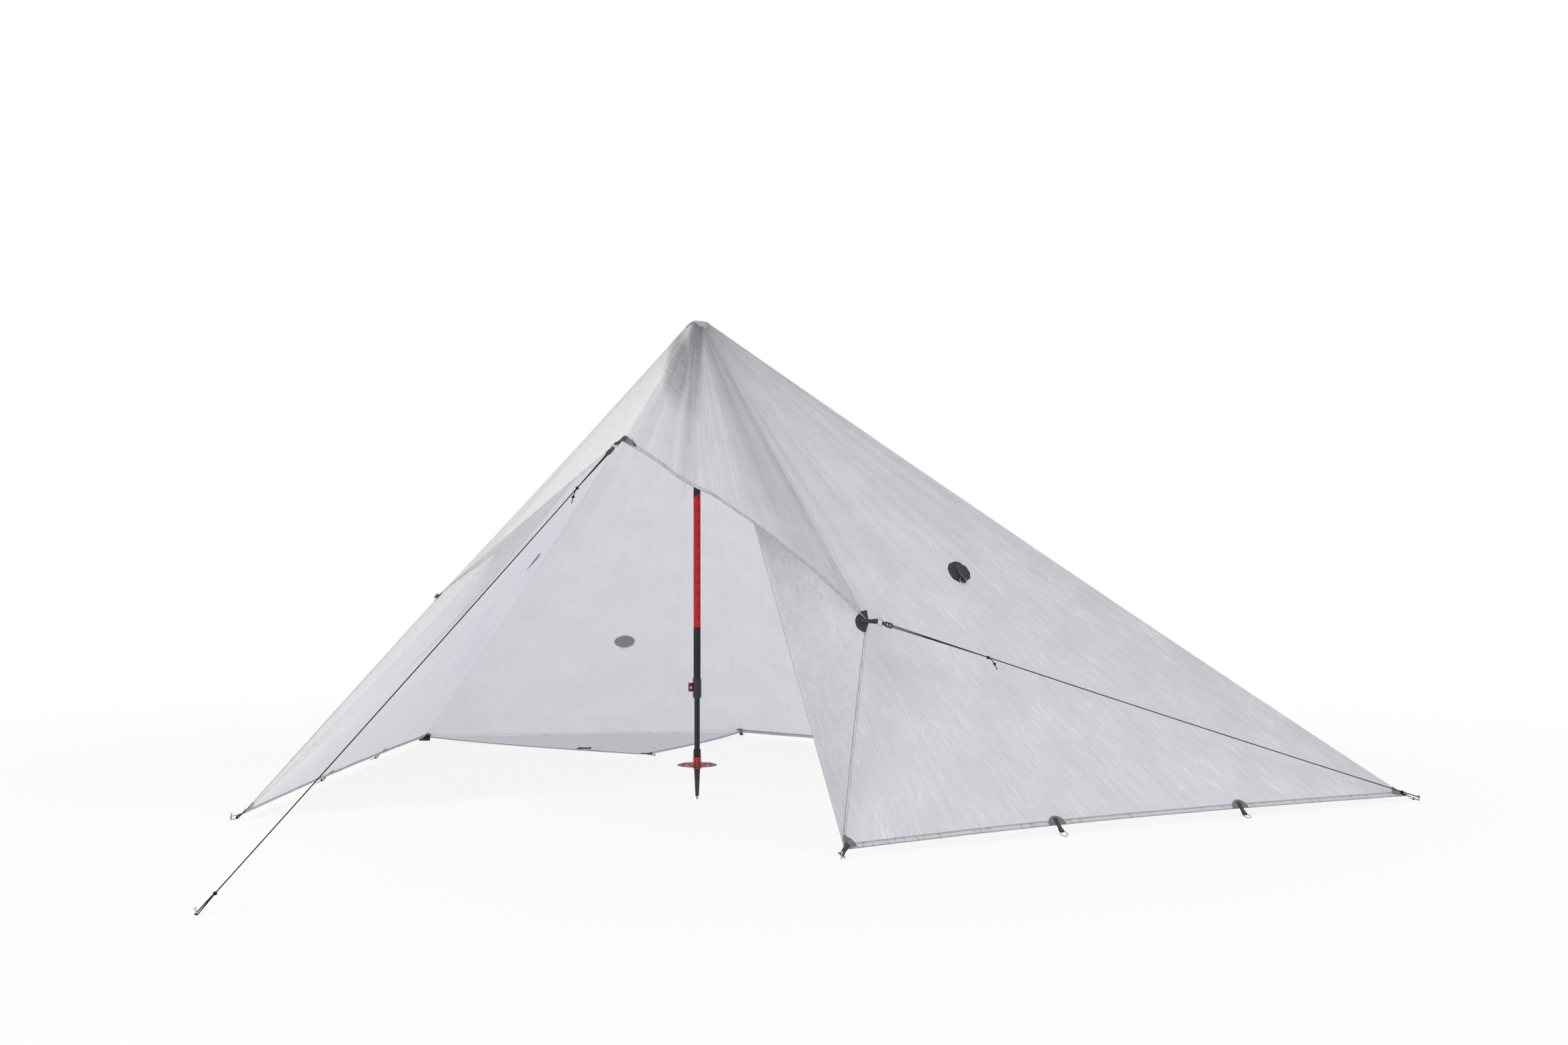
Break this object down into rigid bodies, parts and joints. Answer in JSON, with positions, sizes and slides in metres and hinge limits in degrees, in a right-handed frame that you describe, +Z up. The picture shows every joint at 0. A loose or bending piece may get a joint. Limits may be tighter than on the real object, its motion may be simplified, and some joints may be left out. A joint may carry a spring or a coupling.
{
  "type": "camping tarp",
  "caption": "Square translucent tarp pitched over a trekking pole with folded-back doors, a tucked ground flap, ring tie-outs, nail pegs and guylines.",
  "frame": {"origin": "the flat foot of the pole's point, on the ground", "axes": "+Z up along the pole; +X to the right of the doorway, along the long right fold; the doorway looks towards -Y"},
  "size_m": [2.8905, 2.9145, 1.2],
  "materials": {
    "sheet": "translucent, crinkled",
    "webbing": "matt",
    "steel": "satin",
    "peg_metal": "satin",
    "cord": "matt",
    "black_plastic": "satin",
    "red_plastic": "satin",
    "red_paint": "satin",
    "black_paint": "satin",
    "foam": "matt",
    "carbide": "satin"
  },
  "bodies": {
    "shelter": {"canopy_right": "sheet", "door_flap_right": "sheet", "wall_right": "sheet", "wall_back_right": "sheet", "wall_back": "sheet", "wall_left": "sheet", "door_flap_left": "sheet", "canopy_left": "sheet", "ground_flap": "sheet", "apex_cap": "sheet", "tie_front": "webbing", "tie_lapel_right": "webbing", "tie_lapel_left": "webbing", "tie_door_right": "webbing", "tie_corner_right": "webbing", "tie_corner_left": "webbing", "tie_back_left": "webbing", "tie_back_right": "webbing", "tie_flap_tip": "webbing", "tie_flap_edge": "webbing", "tie_right_1": "webbing", "tie_right_2": "webbing", "tie_left_1": "webbing", "tie_left_2": "webbing", "tie_rear_1": "webbing", "tie_rear_2": "webbing", "tie_panel_right": "webbing", "tie_panel_left": "webbing", "tie_panel_back": "webbing", "ring_front": "steel", "ring_lapel_right": "steel", "ring_door_right": "steel", "ring_corner_right": "steel", "ring_corner_left": "steel", "line_lock_front": "black_plastic", "line_lock_right": "black_plastic", "guyline_front": "cord", "guyline_right": "cord", "upper_shaft": "red_paint", "grip": "foam", "wrist_strap": "cord", "clamp_body": "black_plastic", "clamp_screw": "steel"},
    "lower_pole": {"pole_point": "carbide", "tip_sleeve": "black_plastic", "basket": "red_plastic", "lower_shaft": "black_paint"},
    "clamp_lever": {"clamp_lever": "red_plastic"},
    "ring_right_1": {"ring_right_1": "steel"},
    "ring_right_2": {"ring_right_2": "steel"},
    "ring_left_1": {"ring_left_1": "steel"},
    "ring_left_2": {"ring_left_2": "steel"},
    "ring_panel_right": {"ring_panel_right": "steel"},
    "peg_front": {"peg_front": "peg_metal"},
    "peg_door_right": {"peg_door_right": "peg_metal"},
    "peg_corner_right": {"peg_corner_right": "peg_metal"},
    "peg_corner_left": {"peg_corner_left": "peg_metal"},
    "peg_back_left": {"peg_back_left": "peg_metal"},
    "peg_back_right": {"peg_back_right": "peg_metal"},
    "peg_flap_tip": {"peg_flap_tip": "peg_metal"}
  },
  "joints": [
    {"name": "pole_length", "type": "slide", "parent": "shelter", "child": "lower_pole", "axis": [0, 0, 1], "range_m": [0, 0.12]},
    {"name": "clamp_lever_turn", "type": "hinge", "parent": "shelter", "child": "clamp_lever", "pos_m": [-0.0174, 0.0039, 0.2815], "axis": [0, 0, 1], "range_deg": [0, 110]},
    {"name": "ring_right_1_turn", "type": "hinge", "parent": "shelter", "child": "ring_right_1", "pos_m": [0.8391, -0.56882, 0.01033], "axis": [-0.8638, -0.5038, -0.0033], "range_deg": [0, 120]},
    {"name": "ring_right_2_turn", "type": "hinge", "parent": "shelter", "child": "ring_right_2", "pos_m": [1.3082, -0.29893, 0.0079], "axis": [-0.8692, -0.4944, 0.011], "range_deg": [0, 120]},
    {"name": "ring_left_1_turn", "type": "hinge", "parent": "shelter", "child": "ring_left_1", "pos_m": [-1.00531, 0.28861, 0.00966], "axis": [0.0971, 0.9953, 0.0043], "range_deg": [0, 120]},
    {"name": "ring_left_2_turn", "type": "hinge", "parent": "shelter", "child": "ring_left_2", "pos_m": [-0.96042, 0.78457, 0.00821], "axis": [0.0849, 0.9963, -0.0101], "range_deg": [0, 120]},
    {"name": "ring_panel_right_turn", "type": "hinge", "parent": "shelter", "child": "ring_panel_right", "pos_m": [0.6496, -0.17396, 0.56335], "axis": [-0.8732, -0.4874, 0], "range_deg": [0, 120]},
    {"name": "peg_front_pull", "type": "slide", "parent": "shelter", "child": "peg_front", "axis": [-0.2419, 0, 0.9703], "range_m": [0, 0.05]},
    {"name": "peg_door_right_pull", "type": "slide", "parent": "shelter", "child": "peg_door_right", "axis": [0, 0, 1], "range_m": [0, 0.05]},
    {"name": "peg_corner_right_pull", "type": "slide", "parent": "shelter", "child": "peg_corner_right", "axis": [0, 0, 1], "range_m": [0, 0.05]},
    {"name": "peg_corner_left_pull", "type": "slide", "parent": "shelter", "child": "peg_corner_left", "axis": [0, 0, 1], "range_m": [0, 0.05]},
    {"name": "peg_back_left_pull", "type": "slide", "parent": "shelter", "child": "peg_back_left", "axis": [0, 0, 1], "range_m": [0, 0.05]},
    {"name": "peg_back_right_pull", "type": "slide", "parent": "shelter", "child": "peg_back_right", "axis": [0, 0, 1], "range_m": [0, 0.05]},
    {"name": "peg_flap_tip_pull", "type": "slide", "parent": "shelter", "child": "peg_flap_tip", "axis": [0, 0, 1], "range_m": [0, 0.05]}
  ]
}
